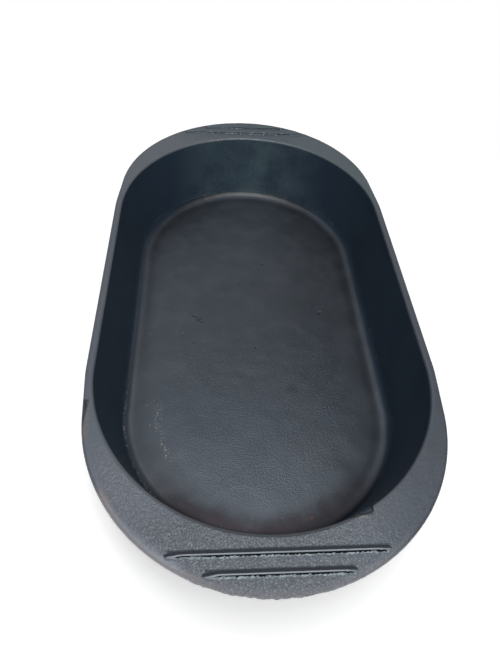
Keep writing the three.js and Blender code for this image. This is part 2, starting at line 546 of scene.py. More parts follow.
# %% [markdown]
# ## The uneven skin
#
# Sand leaves its grain on a casting, and a thick pour never lies quite flat. With a cloud texture the
# displace modifier moves the skin in and out in lumps. The weights keep rims smooth and edges in line.

# %% Make the bowl's skin uneven
WAVE_DEPTH, WAVE_SIZE = 0.7 * MM, 30 * MM
GRAIN_DEPTH, GRAIN_SIZE = 0.3 * MM, 8 * MM
GUTTER_DEPTH = 0.25 * MM


def inside_bowl(p):
    """True on the inside of the bowl."""
    return p.z > floor_z - 2 * MM and oval_radius(p) < wall_radius(mouth_radius + WALL / 2, p.z)


def inner_skin(p):
    """1 inside the bowl, and less towards the rim."""
    return ease(p.z, rim_z - 2 * MM, rim_z - 9 * MM) if inside_bowl(p) else 0


def on_floor(p):
    """True on the flat of the cooking floor."""
    return inside_bowl(p) and p.z < floor_z + 0.2 * MM


def floor_grain(p):
    """1 in the middle of the floor, and less towards the rear."""
    towards_front = 0.3 + 0.7 * ease(p.y, 70 * MM, -20 * MM)
    return ease(oval_radius(p), 70 * MM, 60 * MM) * towards_front if on_floor(p) else 0


def floor_gutter(p):
    """A shallow gutter inside the foot, which runs out on the left of the front."""
    if not on_floor(p):
        return 0
    ring = ease(oval_radius(p), flat_radius - 7 * MM, flat_radius - 2 * MM)
    ring = ring * ease(oval_radius(p), flat_radius + 1.2 * MM, flat_radius - 1 * MM)
    return ring * (1 - 0.8 * ease(p.x, -40 * MM, -70 * MM) * ease(p.y, 30 * MM, -50 * MM))


weigh(bowl, "waves", inner_skin)
weigh(bowl, "grain", floor_grain)
weigh(bowl, "gutter", floor_gutter)
shift(bowl, "waves", WAVE_DEPTH, lumps=WAVE_SIZE)
shift(bowl, "grain", GRAIN_DEPTH, lumps=GRAIN_SIZE)
shift(bowl, "gutter", -GUTTER_DEPTH, direction="Z")
print("the bowl's skin is uneven")

# %% [markdown]
# The handles were never dressed as smooth as the bowl. Their lumps are small and sharp, and the outer edge
# is ragged, mostly at the front.

# %% Roughen the handles
SAND_DEPTH, SAND_SIZE = 0.35 * MM, 1.5 * MM
RAGGED_DEPTH, RAGGED_SIZE = 1.3 * MM, 4 * MM


def rough_share(p):
    """The front handle is roughest at its left and middle. The rear one was dressed smoother."""
    if p.y > 0:
        return 0.3
    return (1 - 0.85 * ease(p.x, 20 * MM, 60 * MM)) * (1 - 0.8 * ease(p.y, -175 * MM, -120 * MM))


def inwards_of_edge(p):
    """Distance of a place from the outer arc of its handle."""
    return handle_radius - math.hypot(p.x, abs(p.y) - handle_centre)


def rubbed_corner(p):
    """1 along the lower left edge of the front handle, where hands have rubbed the grain away."""
    place = ease(p.x, -38 * MM, -50 * MM) * ease(p.y, -140 * MM, -160 * MM)
    return place * ease(inwards_of_edge(p), 6 * MM, 3 * MM)


def handle_skin(p):
    """How rough a handle is, from nothing at the rim outwards."""
    from_rim = oval_radius(p) - rim_radius
    return ease(from_rim, 0.1 * MM, 1.5 * MM) * rough_share(p) * (1 - 0.9 * rubbed_corner(p))


def ragged_edge(p):
    """1 on the edge where it is most ragged, left of the middle of the front handle."""
    worst = ease(p.x, -45 * MM, -38 * MM) * ease(p.x, 30 * MM, 10 * MM) if p.y < 0 else 0
    edge = ease(inwards_of_edge(p), 2.2 * MM, 0.3 * MM) * ease(abs(p.y), 140 * MM, 185 * MM)
    return edge * (0.2 + 0.8 * worst)


for handle in (front_handle, rear_handle):
    weigh(handle, "skin", handle_skin)
    weigh(handle, "edge", ragged_edge)
    shift(handle, "skin", SAND_DEPTH, lumps=SAND_SIZE)
    shift(handle, "edge", RAGGED_DEPTH, lumps=RAGGED_SIZE)
print("the handles' skin is uneven")

# %% [markdown]
# The mould tore a little along one side of every rib. From the middle outwards a rib has a long slope, a
# narrow crest, a crack with one clean side and one ragged side, and a rough lip. All of these are weighted
# shifts of the plain bead. The crack and the lip are also kept as attributes of the mesh, so that the finish
# can paint shade into the one and a highlight onto the other.

# %% Tear the ribs
SLOPE = 0.95
CREST = 0.5 * MM
TAPER = 9 * MM
CRACK_WIDTH = 0.7 * MM
CRACK_DEPTH = 0.95 * MM
LIP_FALL = 0.35
LIP_DEPTH, LIP_SIZE = 0.8 * MM, 0.8 * MM
BEAD_DEPTH, BEAD_SIZE = 0.3 * MM, 2 * MM


def mark(piece, name, rule):
    """Keeps what the rule gives at each point as an attribute that a material can read."""
    layer = piece.data.attributes.new(name, "FLOAT", "POINT")
    for point, stored in zip(piece.data.vertices, layer.data):
        stored.value = rule(point.co)


def tear_rib(bead, node):
    """Gives a bead its slope, crest, crack and lip."""
    low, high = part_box(node)
    middle = (low.y + high.y) / 2
    half_width = (high.y - low.y) / 2
    half_length = (high.x - low.x) / 2
    height = high.z - low.z

    def crest(p):
        """Far side of the crest across the rib. Towards the left end it runs out to the near side."""
        side = 1.0 * MM if p.x < 0 else 0.3 * MM
        return middle + 0.1 * MM - side * ease(abs(p.x), half_length - TAPER, half_length)

    def slope(p):
        """How far a place stands above the long slope, as a share of the height."""
        ramp = height * (1 - SLOPE * (p.y - crest(p)) / half_width)
        return (p.z - rim_z - ramp) / height if p.y > crest(p) else 0

    def below_crest(p):
        """How far a place lies beyond the crest, on the torn side."""
        return crest(p) - CREST - p.y

    def crack(p):
        """1 in the crack. Its far side is clean, and its near side is ragged."""
        ragged = noise.noise(Vector((p.x / (1.1 * MM), middle / MM, 0)))
        patchy = noise.noise(Vector((p.x / (9 * MM), 0, middle / MM)))
        narrower = 0.6 + 0.4 * ease(p.x, 4 * MM - half_length, 25 * MM - half_length)
        width = CRACK_WIDTH * (0.9 + 0.8 * ragged + 0.45 * patchy) * narrower
        ends = ease(p.x, 4 * MM - half_length, 7 * MM - half_length)
        ends = ends * ease(p.x, half_length - 1.5 * MM, half_length - 4 * MM)
        return ease(below_crest(p), 0, 0.2 * MM) * ease(below_crest(p), width + 0.25 * MM, width) * ends

    def lip(p):
        """1 on the lip beyond the crack."""
        return ease(below_crest(p), CRACK_WIDTH, CRACK_WIDTH + 0.3 * MM)

    mark(bead, "crack", crack)
    mark(bead, "lip", lip)
    mark(bead, "slope", lambda p: ease(p.y - crest(p), 0, 0.3 * MM))
    mark(bead, "end", lambda p: ease(abs(p.x), half_length - 7 * MM, half_length - 2 * MM))
    weigh(bead, "slope", slope)
    weigh(bead, "low_lip", lambda p: lip(p) * (p.z - rim_z) / height)
    weigh(bead, "crack_depth", crack)
    weigh(bead, "rough_lip", lip)
    weigh(bead, "skin", lambda p: 1)
    shift(bead, "slope", -height, direction="Z")
    shift(bead, "low_lip", -LIP_FALL * height, direction="Z")
    shift(bead, "rough_lip", LIP_DEPTH, lumps=LIP_SIZE)
    shift(bead, "skin", BEAD_DEPTH, lumps=BEAD_SIZE)
    shift(bead, "crack_depth", -CRACK_DEPTH, direction="Z")


for node, bead in beads.items():
    tear_rib(bead, node)
print("the ribs are torn along one side")

# %% [markdown]
# ## Knocks
#
# Two knocks show on the rim: a flake is gone from its inner edge at the front right, and the left tip of
# the front handle is worn down to a sloping facet. Both are shaped by lowering points. The flake is
# smaller than the faces of the bowl, so those faces are divided first.

# %% Break a flake from the rim, and wear down one tip
KNOCKS = (Vector((42 * MM, -166.5 * MM, rim_z)), Vector((-101 * MM, -102 * MM, rim_z)))
KNOCK_REACH = 12 * MM
KNOCK_DEPTH = 6 * MM
KNOCK_CUTS = 3
FLAKE_START, FLAKE_STOP = 34 * MM, 48.7 * MM
FLAKE_WIDTH = 2.6 * MM
FLAKE_DEPTH = 1.2 * MM
FACET_TOP = Vector((-99.5 * MM, -98.7 * MM, 0))
FACET_FOOT = Vector((-100.5 * MM, -118.5 * MM, 0))
FACET_FALL = 0.35
FACET_DROP = 2 * MM


def flake(p):
    """1 in the flake, a wedge that widens to the right up to a straight break."""
    if p.y > -140 * MM or p.z < rim_z - 4 * MM:
        return 0
    width = FLAKE_WIDTH * (p.x - FLAKE_START) / (FLAKE_STOP - FLAKE_START)
    outwards = oval_radius(p) - mouth_radius
    along = ease(p.x, FLAKE_START, 46 * MM) * ease(p.x, FLAKE_STOP + 0.6 * MM, FLAKE_STOP - 0.4 * MM)
    return ease(width - outwards, -0.2 * MM, 0.4 * MM) * along


def outside_facet_line(p):
    """How far a place lies outside the top line of the facet, in plan."""
    line = (FACET_FOOT - FACET_TOP).normalized()
    return (p.x - FACET_TOP.x) * line.y - (p.y - FACET_TOP.y) * line.x


def worn(p):
    """1 on the facet and on the edge beside it."""
    if p.x > 0 or p.y > 0 or p.z < rim_z - 3 * MM:
        return 0
    along = ease(p.y, FACET_TOP.y + 0.4 * MM, FACET_TOP.y - 0.4 * MM)
    return along * ease(outside_facet_line(p), -0.1 * MM, 0.4 * MM)


def facet(p):
    """How far a place stands above the facet, a plane that falls outwards from its top line."""
    return worn(p) * (p.z - rim_z + FACET_FALL * outside_facet_line(p)) / FACET_DROP


bpy.context.view_layer.objects.active = bowl
bpy.ops.object.mode_set(mode="EDIT")
for knock in KNOCKS:
    pick_faces(lambda middle: (middle - knock).length < KNOCK_REACH and middle.z > rim_z - KNOCK_DEPTH)
    bpy.ops.mesh.subdivide(number_cuts=KNOCK_CUTS)
bpy.ops.object.mode_set(mode="OBJECT")
weigh(bowl, "flake", flake)
shift(bowl, "flake", -FLAKE_DEPTH, direction="Z")
for piece in (bowl, front_handle):
    mark(piece, "worn", worn)
    weigh(piece, "facet", facet)
    shift(piece, "facet", -FACET_DROP, direction="Z")
print("one flake is broken off and one tip is worn down")

# %% [markdown]
# ## The frame
#
# The pan is one rigid body, so all pieces ride on it. Each piece stands for one CAD node, whose own part is
# hidden.

# %% Ride on the body, and stand for the CAD nodes
stands_for = {bowl: "pan_bowl", front_handle: "front_handle", rear_handle: "rear_handle"}
stands_for.update({bead: node for node, bead in beads.items()})
for piece, node in stands_for.items():
    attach(piece, "root")
    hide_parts(node)
print(len(stands_for), "pieces ride on the root body")

# %% [markdown]
# ## The finish
#
# Oil baked onto iron makes a hard, dark, slightly blue coat. On the cooking floor it is thick and satiny, so
# most of what one sees there is reflected light. On the walls it is darker and duller. On the rim and the
# handles it is thin and dry and scatters more light. These are three materials, plus two for the ribs: one
# with painted highlights on their crests and lips, and one of painted shade on their far slopes and cracks.
# Every pattern in them depends on the place on the pan, read from the object coordinates, so nothing breaks
# where two pieces meet.
#
# A node tree is a sum written as boxes, which one would place and wire by hand in the shader editor. The
# two classes here let it be written as a sum again: a Field is one number that varies over the surface,
# and a Recipe is a material made of such numbers.

# %% A number that varies over the surface
class Field:
    """A number that varies over the surface. It can be added and multiplied as any number can."""

    def __init__(self, recipe, socket):
        self.recipe = recipe
        self.socket = socket

    def __add__(self, other):
        return self.recipe.math("ADD", self, other)

    def __sub__(self, other):
        return self.recipe.math("SUBTRACT", self, other)

    def __rsub__(self, other):
        return self.recipe.math("SUBTRACT", other, self)

    def __mul__(self, other):
        return self.recipe.math("MULTIPLY", self, other)

    def __abs__(self):
        return self.recipe.math("ABSOLUTE", self)

    __radd__ = __add__
    __rmul__ = __mul__

    def ease(self, start, stop):
        """0 at start and 1 at stop, with a smooth ramp between, as the function ease gives it."""
        inputs = (self, start, stop, 0, 1)
        ramp = self.recipe.node("ShaderNodeMapRange", *inputs, interpolation_type="SMOOTHSTEP")
        return Field(self.recipe, ramp.outputs[0])

# %% [markdown]
# A Recipe adds nodes to a material and links them. Its methods are named for what they give: lumps of noise,
# a mark kept on the mesh, a distance on the pan, one colour laid over another. They return Fields and
# colours, so one method feeds the next.

# %% A material made of such numbers
class Recipe:
    """A node tree with short names for the nodes that build it."""

    def __init__(self, tree, shader, coordinates="Object"):
        self.tree = tree
        self.shader = tree.nodes[shader]
        self.place = self.node("ShaderNodeTexCoord").outputs[coordinates]
        axes = self.node("ShaderNodeSeparateXYZ", self.place).outputs
        self.x, self.y, self.z = (Field(self, axis) for axis in axes)
        turned = self.node("ShaderNodeMapping", self.place)
        turned.inputs["Rotation"].default_value = (0.5, 0.7, 0.3)
        self.askew = turned.outputs[0]

    def node(self, kind, *inputs, **settings):
        """Adds a node, with its first inputs and its settings."""
        node = self.tree.nodes.new(kind)
        for setting, value in settings.items():
            setattr(node, setting, value)
        for socket, value in zip(node.inputs, inputs):
            self.feed(socket, value)
        return node

    def feed(self, socket, value):
        """Links a varying value to a socket, or sets the socket to a constant."""
        if isinstance(value, Field):
            value = value.socket
        if isinstance(value, bpy.types.NodeSocket):
            self.tree.links.new(value, socket)
        else:
            socket.default_value = (*value, 1) if isinstance(value, tuple) else value

    def math(self, operation, *inputs):
        return Field(self, self.node("ShaderNodeMath", *inputs, operation=operation).outputs[0])

    def lumps(self, size, detail=2, place=None):
        """Noise between 0 and 1, in lumps of that size. It is read askew, or level faces show its grid."""
        texture = self.node("ShaderNodeTexNoise")
        self.feed(texture.inputs["Vector"], place or self.askew)
        texture.inputs["Scale"].default_value = 1 / size
        texture.inputs["Detail"].default_value = detail
        return Field(self, texture.outputs[0])

    def marked(self, name):
        """An attribute that mark kept on the mesh."""
        return Field(self, self.node("ShaderNodeAttribute", attribute_name=name).outputs["Fac"])

    def lay(self, share, over, under):
        """One colour laid over another, as thickly as the share says."""
        return self.node("ShaderNodeMixRGB", share, under, over).outputs[0]

    def away_from(self, x, y):
        """Distance in plan from a place."""
        across = self.x - x
        along = self.y - y
        return self.math("SQRT", across * across + along * along)

    def oval(self):
        """Distance from the line between the centres of the round ends, as oval_radius gives it."""
        beyond = self.math("MAXIMUM", abs(self.y) - end_centre, 0)
        return self.math("SQRT", self.x * self.x + beyond * beyond)

    def set(self, **inputs):
        """Feeds the shader's sockets, named in small letters with underscores for spaces."""
        sockets = {socket.name.lower().replace(" ", "_"): socket for socket in self.shader.inputs}
        for name, value in inputs.items():
            self.feed(sockets[name], value)

    def bump(self, relief):
        """A relief in millimetres, as a normal."""
        bump = self.node("ShaderNodeBump")
        bump.inputs["Distance"].default_value = MM
        self.feed(bump.inputs["Height"], relief)
        return bump.outputs[0]


def new_material(name):
    """A new material, and the recipe that fills its node tree."""
    material = bpy.data.materials.new(name)
    material.use_nodes = True
    return material, Recipe(material.node_tree, "Principled BSDF")

# %% [markdown]
# ### Dry iron
#
# The rim, the handles and the outside. Its colour drifts between a cool and a warm grey. The sand grain is
# coarse on the handles and fades out on the rim, and the right side carries fine grinding marks. The
# left edge of the front handle is rubbed: rusty in two places, bare and pale below them.

# %% The colour of dry iron over the pan
COOL_IRON = (0.073, 0.084, 0.097)
WARM_IRON = (0.085, 0.087, 0.101)
PALE_IRON = (0.099, 0.105, 0.120)
PALE_GRIP = (0.116, 0.126, 0.141)
RIGHT_SHADE_IRON = (0.051, 0.058, 0.069)
REAR_IRON = (0.092, 0.101, 0.114)
TEAL_IRON = (0.074, 0.093, 0.101)
DULL_IRON = (0.020, 0.034, 0.042)


def tone(iron):
    """Pale on the front handle, painted shade in streaks on the right of the pan, teal and dull on the rear
    handle.
    """
    colour = iron.lay(iron.lumps(45 * MM).ease(0.35, 0.65), WARM_IRON, COOL_IRON)
    colour = iron.lay(iron.y.ease(-105 * MM, -150 * MM), PALE_IRON, colour)
    grip = iron.y.ease(-160 * MM, -185 * MM) * abs(iron.x + 8 * MM).ease(70 * MM, 40 * MM)
    colour = iron.lay(grip, PALE_GRIP, colour)
    # Painted shade: the right of the pan is darkened in streaks, where less light falls.
    streaks = 0.7 + 0.6 * iron.lumps(6 * MM, detail=3)
    colour = iron.lay(iron.x.ease(25 * MM, 80 * MM) * streaks * 0.8, RIGHT_SHADE_IRON, colour)
    teal = iron.lay(iron.x.ease(-60 * MM, 20 * MM), TEAL_IRON, REAR_IRON)
    colour = iron.lay(iron.y.ease(40 * MM, 120 * MM), teal, colour)
    between_ribs = abs(iron.x + 5 * MM).ease(70 * MM, 30 * MM) * iron.y.ease(160 * MM, 180 * MM)
    return iron.lay(between_ribs * 0.26, DULL_IRON, colour)

# %% [markdown]
# Use has left its own colours on top: rust and bare metal where hands and shelves rub. Painted light lies on
# top as well: painted shade in the corners by the ribs, over the front inner edge of the rim and in the
# hollow of the flake, and a painted highlight dotted along the rear inner edge of the rim and in a streak
# under the flake. Each is laid over the colour below it wherever a share, worked out from the place on the
# pan, says so.

# %% Painted shade, rust, bare metal and painted highlights
RUST = (0.178, 0.118, 0.085)
BARE_EDGE = (0.230, 0.220, 0.230)
FLAKE_SHADE = (0.040, 0.036, 0.038)
# Beige: bare specks by the rust, and also painted highlights under the flake and along the rear rim edge
BEIGE_BARE_AND_HIGHLIGHT = (0.200, 0.185, 0.165)
# Black of painted shade: in the corners by the ribs, in the pits of the grain and over the front inner rim
# edge
SHADE_BLACK = (0.012, 0.014, 0.018)
# Place and reach of the rust
RUSTY_PLACES = ((-99.5 * MM, -114 * MM, 14 * MM), (-83.5 * MM, -157 * MM, 10 * MM))


def on_top(iron):
    """1 on the level tops of the rim and the handles, and 0 below them."""
    return iron.z.ease(rim_z - 3.5 * MM, rim_z - 2.5 * MM)


def from_handle_edge(iron):
    """Distance from the outer arc of the handle, as inwards_of_edge gives it."""
    along = abs(iron.y) - handle_centre
    return handle_radius - iron.math("SQRT", iron.x * iron.x + along * along)


def shade_by_ribs(iron, colour):
    """Painted shade in the corner along the far foot of every rib."""
    for node in beads:
        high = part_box(node)[1]
        thick = on_top(iron) * (0.85 if high.y < 0 else 0.3)
        along = abs(iron.x).ease(high.x - 0.2 * MM, high.x - 2 * MM)
        colour = iron.lay(thick * along * abs(iron.y - high.y).ease(1.0 * MM, 0.3 * MM), SHADE_BLACK, colour)
    return colour


def rubbed_edge(iron, colour):
    """Rust at the left tip of the front handle and below it, then an edge rubbed bare and pale."""
    inwards = from_handle_edge(iron)
    patchy = iron.lumps(2.5 * MM, detail=4)
    specks = iron.lumps(1.0 * MM, detail=1).ease(0.58, 0.70)
    for x, y, reach in RUSTY_PLACES:
        share = iron.away_from(x, y).ease(reach, 0.3 * reach) * on_top(iron) * (1 - iron.marked("worn"))
        rusty = share * inwards.ease(5 * MM, 1 * MM) * (0.2 + 0.65 * patchy.ease(0.42, 0.62))
        colour = iron.lay(rusty, RUST, colour)
        colour = iron.lay(share * inwards.ease(9 * MM, 3 * MM) * specks * 0.8, BEIGE_BARE_AND_HIGHLIGHT, colour)
    lower_left = iron.x.ease(-25 * MM, -45 * MM) * iron.y.ease(-148 * MM, -158 * MM)
    bare = lower_left * (inwards + patchy * (2 * MM)).ease(4.5 * MM, 1.6 * MM)
    colour = iron.lay(bare * 0.75, BARE_EDGE, colour)
    front = abs(iron.x).ease(75 * MM, 45 * MM) * iron.y.ease(-150 * MM, -170 * MM)
    return iron.lay(front * (inwards + patchy * (3 * MM)).ease(6 * MM, 2 * MM) * 0.4, BARE_EDGE, colour)


def shaded_inner_edge(iron, colour):
    """Painted shade over the inner edge of the rim at the front, where its rounding turns away from the
    light.
    """
    over_edge = iron.z.ease(rim_z - 0.1 * MM, rim_z - 0.5 * MM)
    over_edge = over_edge * iron.oval().ease(rim_radius, mouth_radius + 2 * MM)
    front = iron.y.ease(-120 * MM, -140 * MM) * abs(iron.x).ease(82 * MM, 55 * MM)
    return iron.lay(over_edge * front * 0.85, SHADE_BLACK, colour)


def flake_shade_and_highlight(iron, colour):
    """Painted shade in the hollow of the flake, and a beige painted highlight in a streak below it."""
    hollow = iron.away_from(45.6 * MM, -165.4 * MM).ease(4.2 * MM, 1.6 * MM)
    colour = iron.lay(hollow * on_top(iron), FLAKE_SHADE, colour)
    below = iron.y + 168.6 * MM + 0.28 * (iron.x - 43 * MM)
    streak = abs(below).ease(0.9 * MM, 0.1 * MM) * abs(iron.x - 43 * MM).ease(4.5 * MM, 1 * MM)
    return iron.lay(streak * on_top(iron) * 0.7, BEIGE_BARE_AND_HIGHLIGHT, colour)


def dotted_rim_highlight(iron, colour):
    """A beige painted highlight in dots along the inner edge of the rim at the rear."""
    line = abs(iron.oval() - mouth_radius - 0.2 * MM).ease(0.9 * MM, 0.2 * MM) * on_top(iron)
    line = line * iron.y.ease(125 * MM, 140 * MM) * abs(iron.x + 8 * MM).ease(52 * MM, 10 * MM)
    return iron.lay(line * iron.lumps(1.8 * MM, detail=2).ease(0.42, 0.66) * 0.8, BEIGE_BARE_AND_HIGHLIGHT, colour)

# %% [markdown]
# The mesh has the larger lumps of the sand. The finest grain would need millions of faces, so it is a bump
# of the material, and its colour follows it with painted light: a painted highlight on the tops, painted
# shade in the pits.

# %% Sand grain and grinding marks
GRAIN_HIGHLIGHT = (0.240, 0.262, 0.284)


def coarse_share(iron):
    """How coarse the sand grain is: full in the middle of the front handle, less to its left and right."""
    on_handle = iron.oval().ease(mouth_radius + 0.6 * MM, mouth_radius + 2 * MM)
    front = iron.y.ease(-110 * MM, -170 * MM)
    left = iron.x.ease(50 * MM, 10 * MM)
    middle = abs(iron.x + 8 * MM).ease(72 * MM, 42 * MM) * iron.y.ease(-160 * MM, -175 * MM)
    corner = iron.x.ease(-38 * MM, -50 * MM) * from_handle_edge(iron).ease(6 * MM, 3 * MM)
    return on_handle * (0.06 + front * (0.07 + 0.39 * left + 0.6 * middle) * (1 - 0.85 * corner))


def grain_highlight_and_shade(iron, coarse, grain, colour):
    """A painted highlight on the tops of the grain, and painted shade in its pits."""
    colour = iron.lay(coarse * grain.ease(0.50, 0.68) * 0.85, GRAIN_HIGHLIGHT, colour)
    return iron.lay(coarse * grain.ease(0.45, 0.34) * 0.3, SHADE_BLACK, colour)


def grinding_marks(iron):
    """Noise stretched into slanting lines, on the right of the front."""
    turned = iron.node("ShaderNodeMapping", iron.place)
    turned.inputs["Rotation"].default_value = (0, 0, math.radians(28))
    turned.inputs["Scale"].default_value = (0.1, 1, 1)
    right = iron.x.ease(30 * MM, 60 * MM) * iron.y.ease(-80 * MM, -110 * MM)
    return right * iron.lumps(0.9 * MM, place=turned.outputs[0]) * 0.06

# %% [markdown]
# Now the looks are laid over each other, as coats of paint are: what comes last lies on top. The reflections
# have a slight tint, because baked oil reflects bluish light.

# %% Dry iron, put together
WORN_TIP = (0.040, 0.042, 0.055)
GLOSS_TINT = (0.70, 0.83, 1.0)


def dry_iron():
    """The finish of the rim, the handles and the outside."""
    material, iron = new_material("dry_iron")
    coarse = coarse_share(iron)
    grain = iron.lumps(0.8 * MM, detail=3)
    colour = iron.lay(iron.marked("worn") * 0.5, WORN_TIP, tone(iron))
    colour = grain_highlight_and_shade(iron, coarse, grain, colour)
    colour = shade_by_ribs(iron, colour)
    colour = rubbed_edge(iron, colour)
    colour = shaded_inner_edge(iron, colour)
    colour = flake_shade_and_highlight(iron, colour)
    colour = dotted_rim_highlight(iron, colour)
    relief = (0.04 + 0.8 * coarse) * grain + coarse * iron.lumps(2.4 * MM) + grinding_marks(iron)
    iron.set(base_color=colour, metallic=0.1 * iron.marked("worn"), normal=iron.bump(relief))
    iron.set(roughness=0.38 + 0.1 * iron.lumps(8 * MM) - 0.12 * coarse)
    iron.set(specular_ior_level=0.7, specular_tint=GLOSS_TINT)
    return material


dry = dry_iron()
print("dry iron has", len(dry.node_tree.nodes), "nodes")

# %% [markdown]
# ### Ribs with painted highlights and painted shade
#
# The ribs are the same dry iron, with painted highlights on their crests and lips. Their far slopes get
# painted shade, and their cracks black painted shade. That painted shade doesn't shine at all, so it is a
# material of its own.

# %% Painted highlights and painted shade of the ribs
# Colours of the ribs' painted highlights and painted shade
CREST_HIGHLIGHT = (0.260, 0.285, 0.310)
LIP_HIGHLIGHT = (0.360, 0.430, 0.450)
SLOPE_SHADE = (0.045, 0.051, 0.062)
CRACK_SHADE = (0.009, 0.011, 0.013)
REAR_RIB_DARK = (0.048, 0.062, 0.070)


def rubbed_iron():
    """Painted highlights on the crests and beaded lips, ends as dark as the handle, and darker ribs at the
    rear with dots of painted highlight.
    """
    material, iron = new_material("rubbed_iron")
    colour = iron.lay(iron.marked("end") * 0.6, COOL_IRON, CREST_HIGHLIGHT)
    beaded = iron.lumps(1.2 * MM, detail=1).ease(0.38, 0.58) * iron.lumps(7 * MM).ease(0.25, 0.55)
    colour = iron.lay(iron.marked("lip"), iron.lay(0.2 + 0.8 * beaded, LIP_HIGHLIGHT, COOL_IRON), colour)
    dots = iron.lumps(2.2 * MM, detail=1).ease(0.58, 0.66)
    dull = iron.lay(dots * 0.7, CREST_HIGHLIGHT, REAR_RIB_DARK)
    colour = iron.lay(iron.y.ease(0, 100 * MM), dull, colour)
    iron.set(base_color=colour, roughness=0.36 + 0.12 * iron.lumps(3 * MM))
    iron.set(normal=iron.bump(0.3 * iron.lumps(1 * MM)))
    iron.set(specular_ior_level=0.65, specular_tint=GLOSS_TINT)
    return material


def rib_shade():
    """Painted shade on the far slopes, black painted shade where the mark of the crack is strong, and
    teal-dark at the rear.
    """
    material, iron = new_material("rib_shade")
    colour = iron.lay(iron.marked("crack").ease(0.15, 0.5), CRACK_SHADE, SLOPE_SHADE)
    colour = iron.lay(iron.y.ease(0, 100 * MM) * 0.8, REAR_RIB_DARK, colour)
    iron.set(base_color=colour, roughness=1, specular_ior_level=0)
    return material


# The ribs' material with painted highlights, and their material of painted shade
rubbed = rubbed_iron()
rib_shade_paint = rib_shade()
print("rubbed iron has", len(rubbed.node_tree.nodes), "nodes, and soot", len(rib_shade_paint.node_tree.nodes))

# %% [markdown]
# ### Oiled wall
#
# The walls are nearly black. Towards the rear the oil has baked on in teal clouds, and a little flour dust
# clings above the crease.

# %% Oiled iron of the wall
OILED_WALL = (0.0185, 0.031, 0.051)
TEAL_CLOUD = (0.050, 0.082, 0.096)
DUST = (0.200, 0.215, 0.215)


def oiled_wall():
    """Nearly black, with clouds at the rear and dust low down."""
    material, iron = new_material("oiled_wall")
    rear = iron.y.ease(110 * MM, 160 * MM) * abs(iron.x - 5 * MM).ease(75 * MM, 20 * MM)
    clouds = iron.lumps(26 * MM, detail=6).ease(0.20, 0.66) * (0.1 + 0.9 * rear)
    fine = 0.5 + 0.5 * iron.lumps(4 * MM, detail=4) + 0.5 * iron.lumps(1.1 * MM, detail=2)
    colour = iron.lay(clouds * fine, TEAL_CLOUD, OILED_WALL)
    low = iron.z.ease(crease_z + 9 * MM, crease_z)
    patches = 0.4 * rear + low * iron.lumps(20 * MM).ease(0.45, 0.6)
    dust = iron.lumps(0.9 * MM, detail=1).ease(0.58, 0.70) * patches
    colour = iron.lay(dust * 0.5, DUST, colour)
    iron.set(base_color=colour, roughness=0.44 + 0.1 * iron.lumps(12 * MM))
    iron.set(normal=iron.bump((0.06 + 0.12 * rear) * iron.lumps(1.4 * MM)))
    iron.set(specular_ior_level=0.55, specular_tint=GLOSS_TINT)
    return material


wall = oiled_wall()
print("the oiled wall has", len(wall.node_tree.nodes), "nodes")

# %% [markdown]
# ### The cooking floor
#
# The floor is satin iron with an orange-peel grain in the middle and a smooth band round its edge. Baking
# left a brown haze at the front, a faint round stain in the middle, a line of crumbs along the left of the
# grain and some dust in the hollow at its foot.

# %% Haze, stains, worn places and a painted highlight of the floor
def brown_haze(iron, radius):
    """How thickly the haze lies on the front of the floor and up its foot."""
    front = iron.y.ease(-105 * MM, -150 * MM)
    front = front * iron.x.ease(-85 * MM, -40 * MM) * iron.x.ease(95 * MM, 60 * MM)
    return front * (radius + 16 * MM * iron.lumps(16 * MM, detail=4)).ease(72 * MM, 90 * MM)


def far_foot_highlight(iron, radius):
    """1 along the upper foot at the rear, where a pale painted highlight lies along the crease."""
    rear = iron.y.ease(120 * MM, 145 * MM) * abs(iron.x).ease(75 * MM, 30 * MM)
    return rear * radius.ease(flat_radius + 0.5 * MM, flat_radius + 3 * MM)


def dulled(iron, radius, haze):
    """How much less the floor shines.

    It is dulled under the haze, in a round stain and a smudge, on the right, in a ring inside the foot, and
    at the left of the front.
    """
    stain = iron.away_from(7 * MM, -12.7 * MM).ease(63 * MM, 60 * MM)
    smudge = iron.away_from(25.3 * MM, -59 * MM).ease(7 * MM, 1 * MM)
    right = 0.12 * iron.x.ease(0, 60 * MM)
    right = right + 0.08 * iron.x.ease(30 * MM, 60 * MM) * iron.y.ease(-20 * MM, 40 * MM)
    ring = radius.ease(flat_radius - 14 * MM, flat_radius - 3 * MM)
    ring = ring * radius.ease(flat_radius, flat_radius - 2 * MM)
    left_front = iron.x.ease(-15 * MM, -50 * MM) * iron.y.ease(-85 * MM, -115 * MM)
    left_front = left_front * radius.ease(58 * MM, 72 * MM)
    thick = haze * (0.88 - 0.28 * iron.x.ease(5 * MM, 45 * MM))
    return thick + 0.07 * stain + 0.25 * smudge + right + 0.15 * ring + 0.27 * left_front

# %% [markdown]
# Small marks make a surface look used. Those that stand out are put where they are on the pan. The fine
# crumbs are noise, cut off so high that only its peaks are left.

# %% Pits, crumbs and specks
CRUMB = (0.290, 0.280, 0.260)
RUST_SPECK = (0.350, 0.070, 0.030)
# Place and reach of each pit, and place and colour of each speck, in millimetres
PITS = (
    (-44.6, 9.2, 1.4), (-42.2, 8.4, 1.3), (-40.6, 5.8, 1.5), (-38.2, 3.4, 1.0), (-7.4, 43.9, 1.0),
    (12.4, 68, 1.4), (54.2, 12.3, 1.5), (-44, -17, 1.0), (2, -22, 0.9), (-22, -58, 0.9),
)
SPECKS = (
    (55.6, 14.2, CRUMB), (-76.9, -9, CRUMB), (-52.4, -8.1, CRUMB), (-74.6, -70.7, CRUMB),
    (-71.5, -86, CRUMB), (-60.8, -104.1, CRUMB), (28, -149.9, RUST_SPECK), (-52.8, -145.8, RUST_SPECK),
)


